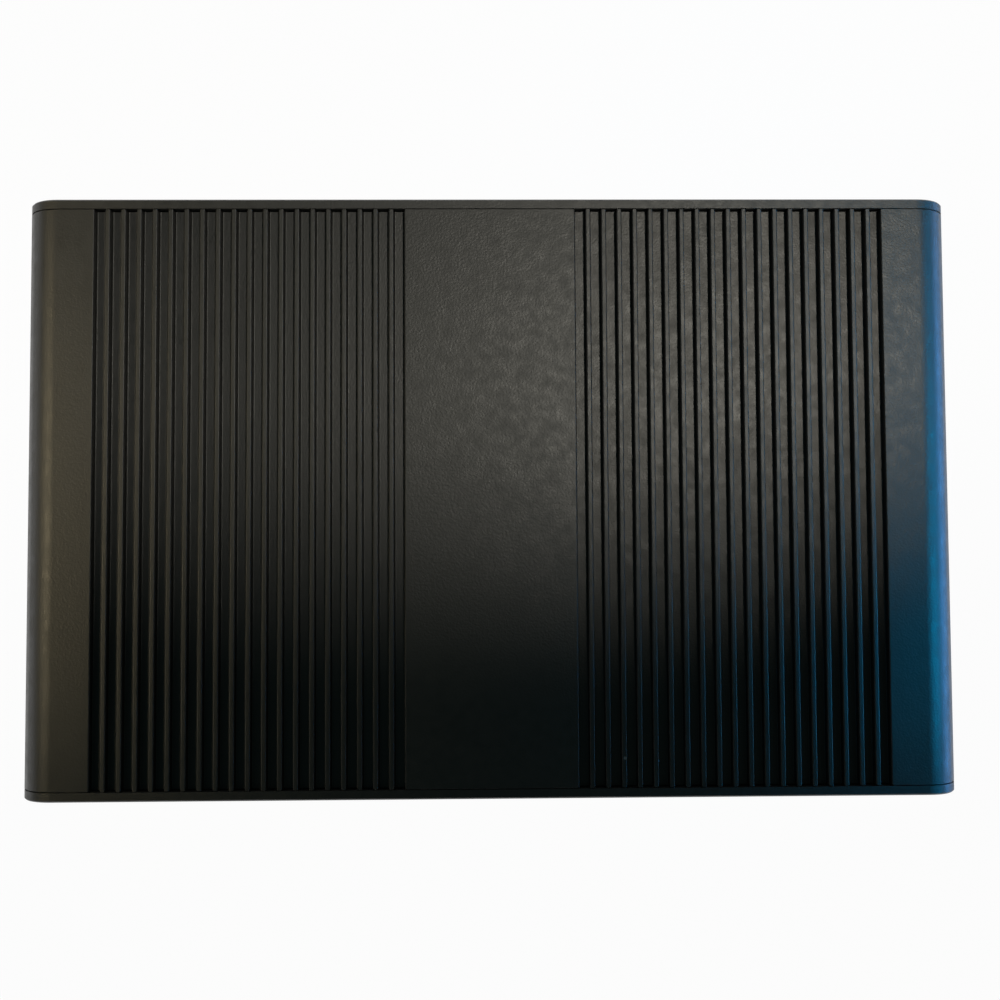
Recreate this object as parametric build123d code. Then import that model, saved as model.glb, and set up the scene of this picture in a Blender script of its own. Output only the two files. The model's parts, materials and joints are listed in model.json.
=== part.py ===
from build123d import *
import os
from collections import namedtuple

# Fanless industrial computer in a finned aluminium case, with its rubber feet on the floor.
# X runs across the fins, Y runs from the front plate to the rear plate, Z is up.
# The origin is under the middle of the case, on the floor. All sizes are in millimetres.

# Case
case_width = 200.0
body_length = 123.6
case_height = 44.0
foot_height = 4.0
side_wall = 3.0
top_wall = 5.0
edge_radius = 7.5
lower_edge_radius = 2.5
inner_edge_radius = 4.0

# Fins: two fields of square grooves, one each side of a smooth middle band
groove_count = 20
groove_pitch = 3.36
groove_width = 2.3
groove_depth = 2.0
middle_band = 36.6
fin_tip_chamfer = 0.25

# Rails inside the case profile
ledge_width = 8.0
ledge_thickness = 3.0
shelf_width = 14.0
shelf_thickness = 3.0
boss_radius = 3.2
boss_merge = 0.4

# Plates
plate_thickness = 2.0
plate_edge_chamfer = 0.3
cover_thickness = 3.0
cover_gap = 0.15
cover_screw_edge = 4.0
cover_screw_end = 8.0
mount_spacing = 75.0
mount_hole_radius = 1.65

# Screws: countersunk ones in the plates and the cover, low round heads inside and in the feet
Screw = namedtuple("Screw", "radius length head_radius head_height socket_radius socket_depth")
screw_play = 0.05
screw_radius = 1.5
flat_head_radius = 2.8
flat_head_height = 1.6
round_head_radius = 2.75
round_head_height = 1.8
hex_radius = 1.15
hex_depth = 1.0
plate_screw_length = 10.0
cover_screw_length = 5.5
board_screw_length = 4.0
foot_screw_length = 4.2
block_screw_length = 7.5
drive_screw_radius = 1.0
drive_screw_length = 2.6
drive_head_radius = 1.9
drive_head_height = 0.8
drive_hex_radius = 0.8
drive_hex_depth = 0.5
flat_head = (flat_head_radius, flat_head_height, hex_radius, hex_depth)
round_head = (round_head_radius, round_head_height, hex_radius, hex_depth)
drive_head = (drive_head_radius, drive_head_height, drive_hex_radius, drive_hex_depth)
plate_screw = Screw(screw_radius, plate_screw_length, *flat_head)
cover_screw = Screw(screw_radius, cover_screw_length, *flat_head)
board_screw = Screw(screw_radius, board_screw_length, *round_head)
foot_screw = Screw(screw_radius, foot_screw_length, *round_head)
block_screw = Screw(screw_radius, block_screw_length, *round_head)
drive_screw = Screw(drive_screw_radius, drive_screw_length, *drive_head)

# Feet
foot_radius = 7.0
foot_taper = 0.8
foot_edge = 0.6
foot_inset_x = 18.0
foot_inset_y = 14.0
foot_seat = 1.6
foot_head_room = 0.4

# Main board, its processor and the block that carries heat to the fins
board_level = 22.6
board_thickness = 1.6
board_side_gap = 0.5
board_end_gap = 1.0
board_corner = 2.0
board_screw_inset = 11.0
board_screw_reach = 50.0
package_size = 28.0
package_thickness = 0.8
die_length = 14.0
die_width = 10.0
die_thickness = 0.5
pad_thickness = 0.5
flange_width = 40.0
flange_length = 66.0
flange_height = 7.0
pedestal_size = 30.0
pedestal_corner = 3.0
block_screw_x = 12.0
block_screw_y = 25.0

# Parts that stand on the board's upper side
inductor_size = 7.0
inductor_height = 4.0
inductor_corner = 0.8
inductor_pitch = 9.0
inductor_count = 5
inductor_x = -28.0
capacitor_radius = 3.15
capacitor_height = 6.0
capacitor_edge = 0.6
capacitor_pitch = 8.4
capacitor_x = 28.0
controller_size = 9.0
controller_height = 0.9
controller_y = 32.0
cell_radius = 10.0
cell_thickness = 3.2
cell_inset = 24.0
cell_gap = 0.2
holder_wall = 1.6
holder_floor = 1.0
holder_height = 3.8
holder_slot = 9.0

# Parts that hang from the board's lower side
module_width = 67.6
module_length = 30.0
module_thickness = 1.2
module_drop = 2.4
memory_inset = 8.0
memory_y = 18.0
chip_width = 12.0
chip_length = 9.0
chip_height = 0.9
chip_pitch = 15.0
chip_count = 4
memory_socket_end = 1.7
memory_socket_depth = 6.5
memory_socket_height = 4.2
latch_width = 1.5
latch_length = 24.0
contact_reach = 2.5
drive_width = 22.0
drive_length = 80.0
drive_board = 0.8
drive_drop = 2.5
drive_inset = 8.0
drive_y = -38.0
drive_socket_depth = 8.0
drive_socket_height = 4.0
drive_chip_length = 14.0
drive_chip_width = 18.0
drive_chip_height = 1.2
drive_chip_pitch = 20.0
post_radius = 2.6

# Power button, its switch and the power light
button_radius = 4.5
button_stand = 1.8
button_gap = 0.3
button_flange = 6.0
flange_rim = 1.0
flange_gap = 0.2
button_edge = 0.4
button_travel = 0.8
button_rise = 6.0
switch_width = 12.0
switch_depth = 8.0
plunger_radius = 1.7
plunger_length = 2.4
plunger_bite = 2.0
plunger_gap = 0.3
light_radius = 1.5
light_stand = 0.2
light_length = 5.6
light_rise = 3.0
lamp_width = 3.2
lamp_depth = 2.4
lamp_height = 4.6

# Sockets: their faces stand a little behind the plates' outer faces
port_recess = 0.3
port_gap = 0.3
shell_wall = 0.4
Port = namedtuple("Port", "width height depth")
usb_width = 14.0
usb_height = 15.6
usb_depth = 17.5
usb_bay_height = 5.4
usb_bay_depth = 12.5
usb_tongue_width = 11.4
usb_tongue_height = 1.8
usb_tongue_length = 9.6
usb_tongue_drop = 0.7
lan_width = 16.0
lan_height = 13.6
lan_depth = 21.0
lan_bay_width = 11.8
lan_bay_height = 6.8
lan_bay_depth = 14.0
lan_bay_drop = 1.2
lan_latch_width = 6.2
lan_latch_height = 2.0
lan_contact_size = 0.5
lan_contact_length = 9.0
lan_contact_count = 8
lan_contact_pitch = 1.02
screen_height = 5.9
screen_depth = 12.0
screen_tongue_length = 8.4
hdmi_width = 15.0
hdmi_tongue_width = 10.6
hdmi_tongue_height = 1.1
hdmi_cut = 1.9
display_width = 17.2
display_tongue_width = 13.2
display_tongue_height = 1.3
display_cut = 2.1
tongue_root = 2.4
serial_flange_width = 30.8
serial_flange_height = 12.5
serial_flange_thickness = 1.0
serial_shell_width = 17.0
serial_shell_height = 8.4
serial_shell_depth = 5.7
serial_slant = 0.75
serial_corner = 1.6
serial_rise = 7.0
serial_block_depth = 8.0
serial_floor = 0.8
serial_post_spacing = 25.0
pin_radius = 0.5
pin_length = 5.0
pin_pitch = 2.77
pin_row_gap = 2.84
post_size = 2.6
post_length = 4.0
post_shank = 1.5
post_bore = 1.15
power_jack_width = 9.0
power_jack_height = 11.0
power_jack_depth = 12.0
power_jack_rise = 6.5
power_collar_radius = 4.2
power_bore_radius = 3.1
power_bore_depth = 9.5
power_pin_radius = 1.05
power_pin_length = 8.6
sound_jack_width = 7.0
sound_jack_height = 6.4
sound_jack_depth = 13.0
sound_rise = 3.4
sound_collar_radius = 2.9
sound_bore_radius = 1.8
sound_bore_depth = 11.0
usb = Port(usb_width, usb_height, usb_depth)
usb_tongue = Port(usb_tongue_width, usb_tongue_height, usb_tongue_length)
lan = Port(lan_width, lan_height, lan_depth)
lan_bay = Port(lan_bay_width, lan_bay_height, lan_bay_depth)
lan_latch = Port(lan_latch_width, lan_latch_height, lan_bay_depth)
lan_contact = Port(lan_contact_size, lan_contact_size, lan_contact_length)
hdmi = Port(hdmi_width, screen_height, screen_depth)
hdmi_tongue = Port(hdmi_tongue_width, hdmi_tongue_height, screen_tongue_length)
display = Port(display_width, screen_height, screen_depth)
display_tongue = Port(display_tongue_width, display_tongue_height, screen_tongue_length)
serial_flange = Port(serial_flange_width, serial_flange_height, serial_flange_thickness)
serial_shell = Port(serial_shell_width, serial_shell_height, serial_shell_depth)
power_jack = Port(power_jack_width, power_jack_height, power_jack_depth)
sound_jack = Port(sound_jack_width, sound_jack_height, sound_jack_depth)

# One overrun for every cut
over = 1.0

# Levels and faces that follow from the sizes above
case_bottom = foot_height
case_top = case_bottom + case_height
inner_top = case_top - top_wall
inner_half = case_width / 2 - side_wall
cover_top = case_bottom + cover_thickness
board_bottom = board_level - board_thickness
body_end = body_length / 2
outer_end = body_end + plate_thickness
lower_boss_z = cover_top + ledge_thickness + boss_radius - boss_merge
upper_boss_z = inner_top - boss_radius + boss_merge
boss_x = inner_half - boss_radius + boss_merge
cover_screw_x = inner_half - cover_screw_edge
cover_screw_rows = (-body_end + cover_screw_end, 0, body_end - cover_screw_end)
board_screw_x = inner_half - board_screw_inset
board_screw_rows = (-board_screw_reach, 0, board_screw_reach)
foot_x = case_width / 2 - foot_inset_x
foot_y = body_end - foot_inset_y
button_level = board_level + button_rise
light_level = board_level + light_rise
memory_socket_width = module_width + 2 * memory_socket_end
memory_x = memory_inset + memory_socket_width / 2 - board_screw_x
drive_x = board_screw_x - drive_inset - drive_width / 2
cell_x = cell_inset - board_screw_x


def spread(widths):
    """The middles of a row of pieces, spread between the board shelves with equal gaps."""
    room = 2 * (inner_half - shelf_width)
    gap = (room - sum(widths)) / (len(widths) + 1)
    places = []
    edge = -room / 2
    for width in widths:
        places.append(edge + gap + width / 2)
        edge += gap + width
    return places


front_row = spread([switch_width, lamp_width, usb_width, usb_width, sound_jack_width, sound_jack_width])
button_x, light_x, *front_usb_places, left_sound_x, right_sound_x = front_row
sound_places = (left_sound_x, right_sound_x)
rear_row = spread([power_jack_width, serial_flange_width, hdmi_width, display_width, usb_width,
                   lan_width, lan_width])
power_jack_x, serial_x, hdmi_x, display_x, rear_usb_x, *lan_places = rear_row
rear_usb_places = (rear_usb_x,)

half_turn = 180
FROM_BELOW = (0, 0, 1)
DOWN = (0, 0, -1)
TO_FRONT = (0, -1, 0)
TO_REAR = (0, 1, 0)


# Solids used again and again
def slab(x_low, x_high, y_low, y_high, z_low, z_high):
    """A box between three pairs of faces."""
    box = Box(x_high - x_low, y_high - y_low, z_high - z_low)
    return Pos((x_low + x_high) / 2, (y_low + y_high) / 2, (z_low + z_high) / 2) * box


def rod(radius, length, start, direction):
    """A round bar from a point, along a direction."""
    bar = Cylinder(radius, length, align=(Align.CENTER, Align.CENTER, Align.MIN))
    return Plane(origin=start, z_dir=direction) * bar


def flat_screw(size, place, outward):
    """A countersunk screw whose flat head lies at the place and faces outward."""
    to_head = (Align.CENTER, Align.CENTER, Align.MAX)
    head = Cone(size.radius, size.head_radius, size.head_height, align=to_head)
    shank = Cylinder(size.radius, size.length, align=to_head)
    socket = extrude(RegularPolygon(size.socket_radius, 6), -size.socket_depth)
    return Plane(origin=place, z_dir=outward) * (head + shank - socket)


def flat_screw_hole(size, place, outward):
    """The countersunk hole for a screw, a little larger than the screw all round."""
    to_head = (Align.CENTER, Align.CENTER, Align.MAX)
    mouth_radius = size.head_radius + screw_play
    throat_radius = size.radius + screw_play
    head = Cone(throat_radius, mouth_radius, size.head_height, align=to_head)
    shank = Cylinder(throat_radius, size.length + over, align=to_head)
    return Plane(origin=place, z_dir=outward) * (head + shank)


def raised_screw(size, seat, outward):
    """A screw whose low round head sits on a face at the seat, with its shank behind it."""
    head = Cylinder(size.head_radius, size.head_height, align=(Align.CENTER, Align.CENTER, Align.MIN))
    shank = Cylinder(size.radius, size.length, align=(Align.CENTER, Align.CENTER, Align.MAX))
    socket = extrude(Pos(0, 0, size.head_height) * RegularPolygon(size.socket_radius, 6), -size.socket_depth)
    return Plane(origin=seat, z_dir=outward) * (head + shank - socket)


def screw_bore(size, seat, inward, depth):
    """The plain hole for a screw's shank."""
    return rod(size.radius + screw_play, depth, seat, inward)


# Case profile
def case_outline():
    """The outline of the case and of its end plates, seen along the fins."""
    outline = Pos(0, case_bottom + case_height / 2) * Rectangle(case_width, case_height)
    outline = fillet(outline.vertices().sort_by(Axis.Y)[-2:], edge_radius)
    return fillet(outline.vertices().sort_by(Axis.Y)[:2], lower_edge_radius)


def groove_places():
    """The middle of every groove across the top."""
    first = middle_band / 2 + groove_width / 2
    for side in (-1, 1):
        for step in range(groove_count):
            yield side * (first + step * groove_pitch)


def groove_section():
    """One groove's section, with its mouth at Y 0, where the fins' tips are bevelled."""
    half = groove_width / 2
    wide = half + fin_tip_chamfer + over
    right = [(half, -groove_depth), (half, -fin_tip_chamfer), (wide, over)]
    left = [(-x, y) for x, y in reversed(right)]
    return make_face(Polyline(*right, *left, close=True))


def housing_profile():
    """The extruded section: fins, walls, cover ledges, board shelves and screw channels."""
    groove = groove_section()
    profile = case_outline() - [Pos(x, case_top) * groove for x in groove_places()]

    room_height = inner_top - case_bottom
    room = Pos(0, case_bottom + room_height / 2) * Rectangle(2 * inner_half, room_height)
    room = fillet(room.vertices().sort_by(Axis.Y)[-2:], inner_edge_radius)
    profile -= room

    rails = []
    for side in (-1, 1):
        for level, width, thickness in (
            (cover_top, ledge_width, ledge_thickness),
            (board_level, shelf_width, shelf_thickness),
        ):
            reach = width + side_wall / 2
            middle = side * (inner_half + side_wall / 2 - reach / 2)
            rails.append(Pos(middle, level + thickness / 2) * Rectangle(reach, thickness))
    channels = [Pos(side * boss_x, level) for side in (-1, 1) for level in (lower_boss_z, upper_boss_z)]
    profile += rails + [channel * Circle(boss_radius) for channel in channels]
    return profile - [channel * Circle(plate_screw.radius + screw_play) for channel in channels]


def along_case(profile, from_y, to_y):
    """A section in X and Z carried from one Y to another."""
    return extrude(Plane.XZ.offset(-from_y) * profile, amount=to_y - from_y, dir=(0, 1, 0))


def make_top_housing():
    bores = []
    for side in (-1, 1):
        for y in cover_screw_rows:
            seat = (side * cover_screw_x, y, cover_top - over)
            bores.append(screw_bore(cover_screw, seat, FROM_BELOW, ledge_thickness + 2 * over))
        for y in board_screw_rows:
            seat = (side * board_screw_x, y, board_level - over)
            bores.append(screw_bore(board_screw, seat, FROM_BELOW, shelf_thickness + 2 * over))
    for x, y in block_screw_places():
        bores.append(screw_bore(block_screw, (x, y, inner_top - over), FROM_BELOW, over + block_thread()))
    return along_case(housing_profile(), -body_end, body_end) - bores


def block_thread():
    """How far the heat block's screws reach into the middle band."""
    return block_screw.length + block_screw.head_height - flange_height - pad_thickness + over / 2


# Case plates, screws and feet
def make_base_cover():
    half = inner_half - cover_gap
    cover = slab(-half, half, -body_end, body_end, case_bottom, cover_top)
    cover = chamfer(cover.faces().sort_by(Axis.Z)[0].edges(), plate_edge_chamfer)
    holes = []
    for side in (-1, 1):
        for y in cover_screw_rows:
            holes.append(flat_screw_hole(cover_screw, (side * cover_screw_x, y, case_bottom), DOWN))
        for end in (-1, 1):
            foot_hole = (side * foot_x, end * foot_y, case_bottom - over)
            holes.append(screw_bore(foot_screw, foot_hole, FROM_BELOW, cover_thickness + 2 * over))
            mount = (side * mount_spacing / 2, end * mount_spacing / 2, case_bottom - over)
            holes.append(rod(mount_hole_radius, cover_thickness + 2 * over, mount, FROM_BELOW))
    return cover - holes


def make_cover_screws():
    places = [(side * cover_screw_x, y, case_bottom) for side in (-1, 1) for y in cover_screw_rows]
    return [flat_screw(cover_screw, place, DOWN) for place in places]


def make_foot(x, y):
    """A rubber foot: a short tapered disc with a pocket for its screw's head."""
    foot = Pos(x, y, 0) * Cone(foot_radius - foot_taper, foot_radius, foot_height,
                               align=(Align.CENTER, Align.CENTER, Align.MIN))
    foot = chamfer(foot.edges().sort_by(Axis.Z)[0], foot_edge)
    foot -= rod(foot_screw.head_radius + foot_head_room, foot_height - foot_seat, (x, y, 0), FROM_BELOW)
    return foot - screw_bore(foot_screw, (x, y, 0), FROM_BELOW, foot_height)


def make_foot_screws():
    seat = foot_height - foot_seat
    places = [(side * foot_x, end * foot_y, seat) for side in (-1, 1) for end in (-1, 1)]
    return [raised_screw(foot_screw, place, DOWN) for place in places]


def make_end_plate(outward, openings):
    """A flat plate over one end of the case, with its screw holes and the sockets' openings."""
    end = outward[1]
    inner_face, outer_face = sorted((end * body_end, end * outer_end))
    plate = along_case(case_outline(), inner_face, outer_face)
    face = plate.faces().sort_by(Axis.Y)[-1 if end > 0 else 0]
    plate = chamfer(face.edges(), plate_edge_chamfer)
    holes = [flat_screw_hole(plate_screw, place, outward) for place in plate_screw_places(end)]
    holes += [along_case(opening, inner_face - over, outer_face + over) for opening in openings]
    return plate - holes


def plate_screw_places(end):
    levels = (lower_boss_z, upper_boss_z)
    return [(side * boss_x, end * outer_end, level) for side in (-1, 1) for level in levels]


def make_plate_screws(outward):
    return [flat_screw(plate_screw, place, outward) for place in plate_screw_places(outward[1])]


# Main board and cooling
def make_motherboard():
    half_width = inner_half - board_side_gap
    half_length = body_end - board_end_gap
    board = slab(-half_width, half_width, -half_length, half_length, board_bottom, board_level)
    board = fillet(board.edges().filter_by(Axis.Z), board_corner)
    for side in (-1, 1):
        for y in board_screw_rows:
            start = (side * board_screw_x, y, board_bottom - over)
            board -= screw_bore(board_screw, start, FROM_BELOW, board_thickness + 2 * over)
    return board


def make_board_screws():
    places = [(side * board_screw_x, y, board_bottom) for side in (-1, 1) for y in board_screw_rows]
    return [raised_screw(board_screw, place, DOWN) for place in places]


def centred_slab(x_size, y_size, z_low, z_high, x=0, y=0):
    """A box over a point of the board."""
    return slab(x - x_size / 2, x + x_size / 2, y - y_size / 2, y + y_size / 2, z_low, z_high)


def make_processor():
    """A bare chip on its carrier, soldered to the board."""
    carrier_top = board_level + package_thickness
    carrier = centred_slab(package_size, package_size, board_level, carrier_top)
    return carrier + centred_slab(die_length, die_width, carrier_top, die_top())


def die_top():
    return board_level + package_thickness + die_thickness


def make_processor_pad():
    return centred_slab(die_length, die_width, die_top(), die_top() + pad_thickness)


def make_heat_block():
    """A milled aluminium block: a flange on the case's inner face, a pedestal on the chip."""
    low = die_top() + pad_thickness
    high = inner_top - pad_thickness
    flange_low = high - flange_height
    pedestal = centred_slab(pedestal_size, pedestal_size, low, flange_low)
    pedestal = fillet(pedestal.edges().filter_by(Axis.Z), pedestal_corner)
    flange = centred_slab(flange_width, flange_length, flange_low, high)
    flange = fillet(flange.edges().filter_by(Axis.Z), pedestal_corner)
    block = pedestal + flange
    for x, y in block_screw_places():
        block -= rod(block_screw.head_radius + screw_play, block_screw.head_height,
                     (x, y, flange_low), FROM_BELOW)
        block -= screw_bore(block_screw, (x, y, flange_low), FROM_BELOW, flange_height + over)
    return block


def block_screw_places():
    return [(side * block_screw_x, end * block_screw_y) for side in (-1, 1) for end in (-1, 1)]


def make_flange_pad():
    """The soft sheet between the heat block and the case, with holes for the block's screws."""
    pad = centred_slab(flange_width, flange_length, inner_top - pad_thickness, inner_top)
    for x, y in block_screw_places():
        pad -= screw_bore(block_screw, (x, y, inner_top - pad_thickness - over), FROM_BELOW, 2 * over)
    return pad


def make_block_screws():
    """The block's screws, with their heads sunk into the flange from below."""
    seat = inner_top - pad_thickness - flange_height + block_screw.head_height
    return [raised_screw(block_screw, (x, y, seat), DOWN) for x, y in block_screw_places()]


# Parts on the board's upper side
def row(count, pitch):
    """Places along a line, evenly spaced about its middle."""
    return [(step - (count - 1) / 2) * pitch for step in range(count)]


def make_inductors():
    chokes = []
    for y in row(inductor_count, inductor_pitch):
        top = board_level + inductor_height
        choke = centred_slab(inductor_size, inductor_size, board_level, top, inductor_x, y)
        chokes.append(chamfer(choke.edges().filter_by(Axis.Z), inductor_corner))
    return chokes


def make_capacitors():
    cans = []
    for y in row(inductor_count, capacitor_pitch):
        can = rod(capacitor_radius, capacitor_height, (capacitor_x, y, board_level), FROM_BELOW)
        cans.append(chamfer(can.edges().sort_by(Axis.Z)[-1], capacitor_edge))
    return cans


def make_controllers():
    top = board_level + controller_height
    return [centred_slab(controller_size, controller_size, board_level, top, x, controller_y)
            for x in lan_places]


def make_cell_holder():
    """A round plastic cup with a slot in its wall, through which the cell is lifted."""
    outer = cell_radius + cell_gap + holder_wall
    cup = rod(outer, holder_height, (cell_x, 0, board_level), FROM_BELOW)
    cup -= rod(cell_radius + cell_gap, holder_height, (cell_x, 0, board_level + holder_floor), FROM_BELOW)
    return cup - slab(cell_x, cell_x + outer + over, -holder_slot / 2, holder_slot / 2,
                      board_level + holder_floor, board_level + holder_height + over)


def make_cell():
    cell = rod(cell_radius, cell_thickness, (cell_x, 0, board_level + holder_floor), FROM_BELOW)
    return chamfer(cell.edges().sort_by(Axis.Z)[-1], cell_gap)


# Parts on the board's lower side
def make_memory_socket():
    """A low bar that takes the module's edge, with a latch arm along each side."""
    low = board_bottom - memory_socket_height
    half = memory_socket_width / 2
    back = memory_y + memory_socket_depth
    socket = slab(memory_x - half, memory_x + half, memory_y, back, low, board_bottom)
    slot_top = board_bottom - module_drop
    slot_half = module_width / 2
    socket -= slab(memory_x - slot_half, memory_x + slot_half, memory_y - over, memory_y + contact_reach,
                   slot_top - module_thickness, slot_top)
    for side in (-1, 1):
        inner, outer = sorted((memory_x + side * slot_half, memory_x + side * half))
        arm = slab(inner + (latch_width / 4 if side > 0 else 0),
                   outer - (latch_width / 4 if side < 0 else 0),
                   memory_y - latch_length, memory_y, low, board_bottom)
        socket += arm
    return socket


def make_memory_module():
    """A small circuit board with a row of memory chips on its lower side."""
    top = board_bottom - module_drop
    low = top - module_thickness
    front = memory_y + contact_reach - module_length
    half = module_width / 2
    module = slab(memory_x - half, memory_x + half, front, memory_y + contact_reach, low, top)
    chip_y = front + module_length / 3
    for x in row(chip_count, chip_pitch):
        module += centred_slab(chip_width, chip_length, low - chip_height, low, memory_x + x, chip_y)
    return module


def make_drive_socket():
    top = board_bottom - drive_drop
    half = drive_width / 2
    low = board_bottom - drive_socket_height
    back = drive_y - drive_socket_depth
    socket = slab(drive_x - half, drive_x + half, back, drive_y, low, board_bottom)
    return socket - slab(drive_x - half - over, drive_x + half + over, drive_y - contact_reach,
                         drive_y + over, top - drive_board, top)


def make_drive():
    """A long narrow storage card with three chips on its lower side and a half-round screw notch."""
    top = board_bottom - drive_drop
    low = top - drive_board
    half = drive_width / 2
    start = drive_y - contact_reach
    card = slab(drive_x - half, drive_x + half, start, start + drive_length, low, top)
    card -= rod(drive_screw.radius + screw_play, drive_board + 2 * over,
                (drive_x, start + drive_length, low - over), FROM_BELOW)
    middle = start + drive_length / 2
    for y in row(3, drive_chip_pitch):
        card += centred_slab(drive_chip_width, drive_chip_length, low - drive_chip_height, low,
                             drive_x, middle + y)
    return card


def drive_post_place():
    return drive_x, drive_y - contact_reach + drive_length


def make_drive_post():
    """The threaded post that holds up the card's far end."""
    x, y = drive_post_place()
    post = rod(post_radius, drive_drop, (x, y, board_bottom), DOWN)
    return post - screw_bore(drive_screw, (x, y, board_bottom), DOWN, drive_drop)


def make_drive_screw():
    x, y = drive_post_place()
    seat = board_bottom - drive_drop - drive_board
    return raised_screw(drive_screw, (x, y, seat), DOWN)


# Power button and light
def make_button():
    """The button's cap: a disc through the front plate, with a wider flange behind the plate."""
    face = -outer_end - button_stand
    flange_face = -body_end + flange_gap
    cap = rod(button_radius, flange_face + flange_rim - face, (button_x, face, button_level), TO_REAR)
    cap = chamfer(cap.edges().sort_by(Axis.Y)[0], button_edge)
    return cap + rod(button_flange, flange_rim, (button_x, flange_face, button_level), TO_REAR)


def plunger_start():
    return -body_end + flange_gap + flange_rim


def make_plunger():
    """The switch's stem, which reaches from the cap into the switch."""
    length = plunger_length + plunger_bite
    return rod(plunger_radius, length, (button_x, plunger_start(), button_level), TO_REAR)


def make_switch():
    """The switch's body on the board, with a well for the stem and its travel."""
    front = plunger_start() + plunger_length
    half = switch_width / 2
    top = button_level + button_rise
    body = slab(button_x - half, button_x + half, front, front + switch_depth, board_level, top)
    body = chamfer(body.edges().filter_by(Axis.Y).sort_by(Axis.Z)[-2:], button_edge)
    return body - rod(plunger_radius + plunger_gap, plunger_bite + button_travel + plunger_gap,
                      (button_x, front, button_level), TO_REAR)


def make_light_pipe():
    """A clear rod that brings the lamp's light through the front plate."""
    pipe = rod(light_radius, light_length, (light_x, -outer_end - light_stand, light_level), TO_REAR)
    return chamfer(pipe.edges().sort_by(Axis.Y)[0], light_stand)


def make_lamp():
    front = -outer_end - light_stand + light_length
    half = lamp_width / 2
    top = board_level + lamp_height
    return slab(light_x - half, light_x + half, front, front + lamp_depth, board_level, top)


# Sockets, each built facing the front, with its foot at Z 0. The mouth is at Y 0, or, for the
# sockets that are fixed to a plate, the plate's outer face is.
def open_shell(port, section):
    """A pressed metal box with an open mouth, from its section."""
    outer = along_case(section, 0, port.depth)
    inner = along_case(offset(section, -shell_wall), -over, port.depth - shell_wall)
    return outer - inner


def port_section(port):
    return Pos(0, port.height / 2) * Rectangle(port.width, port.height)


def usb_levels():
    """The middle of each of the two bays, one above the other."""
    lowest = shell_wall + usb_bay_height / 2
    return lowest, usb.height - lowest


def make_usb(number):
    """Two sockets in one shell: the shell, and the moulded insert with both tongues."""
    half = usb.width / 2 - shell_wall
    back = usb.depth - shell_wall
    insert = slab(-half, half, usb_bay_depth, back, shell_wall, usb.height - shell_wall)
    low_bay, high_bay = usb_levels()
    insert += slab(-half, half, port_recess, usb_bay_depth, low_bay + usb_bay_height / 2,
                   high_bay - usb_bay_height / 2)
    for level in usb_levels():
        top = level + usb_bay_height / 2 - usb_tongue_drop
        insert += slab(-usb_tongue.width / 2, usb_tongue.width / 2, usb_bay_depth - usb_tongue.depth,
                       usb_bay_depth, top - usb_tongue.height, top)
    return {f"usb_shell_{number}": open_shell(usb, port_section(usb)), f"usb_insert_{number}": insert}


def lan_bay_floor():
    return lan.height - shell_wall - lan_bay_drop - lan_bay.height


def make_lan(number):
    """A network socket: shell, moulded insert with its stepped bay, and eight contact springs."""
    half = lan.width / 2 - shell_wall
    top = lan.height - shell_wall
    insert = slab(-half, half, port_recess, lan.depth - shell_wall, shell_wall, top)
    floor = lan_bay_floor()
    ceiling = floor + lan_bay.height
    insert -= slab(-lan_bay.width / 2, lan_bay.width / 2, -over, lan_bay.depth, floor, ceiling)
    insert -= slab(-lan_latch.width / 2, lan_latch.width / 2, -over, lan_latch.depth,
                   floor - lan_latch.height, floor)
    springs = []
    for x in row(lan_contact_count, lan_contact_pitch):
        springs.append(slab(x - lan_contact.width / 2, x + lan_contact.width / 2,
                            lan_bay.depth - lan_contact.depth, lan_bay.depth,
                            ceiling - lan_contact.height, ceiling))
    return {
        f"lan_shell_{number}": open_shell(lan, port_section(lan)),
        f"lan_insert_{number}": insert,
        f"lan_contacts_{number}": springs,
    }


def keyed_section(port, cut, corners):
    """A flat socket's section, with some of its lower corners cut off."""
    section = port_section(port)
    return chamfer(section.vertices().sort_by(Axis.Y)[:2].sort_by(Axis.X)[:corners], cut)


def make_screen_socket(name, port, tongue, cut, corners):
    """A flat screen socket: a keyed shell around a moulded insert with one wide tongue."""
    section = keyed_section(port, cut, corners)
    inner = offset(section, -shell_wall)
    back = port.depth - shell_wall
    root = back - tongue_root
    insert = along_case(inner, root, back)
    insert += slab(-tongue.width / 2, tongue.width / 2, root - tongue.depth, root,
                   port.height / 2 - tongue.height / 2, port.height / 2 + tongue.height / 2)
    return {f"{name}_shell": open_shell(port, section), f"{name}_insert": insert}


def serial_section(inset=0.0):
    """The D outline of the serial plug, centred on its pins."""
    half_top = serial_shell.width / 2
    half_low = half_top - serial_slant * 2
    half_high = serial_shell.height / 2
    outline = Polyline((-half_top, half_high), (half_top, half_high), (half_low, -half_high),
                       (-half_low, -half_high), close=True)
    outline = make_face(outline)
    outline = fillet(outline.vertices(), serial_corner)
    return offset(outline, -inset) if inset else outline


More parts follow.
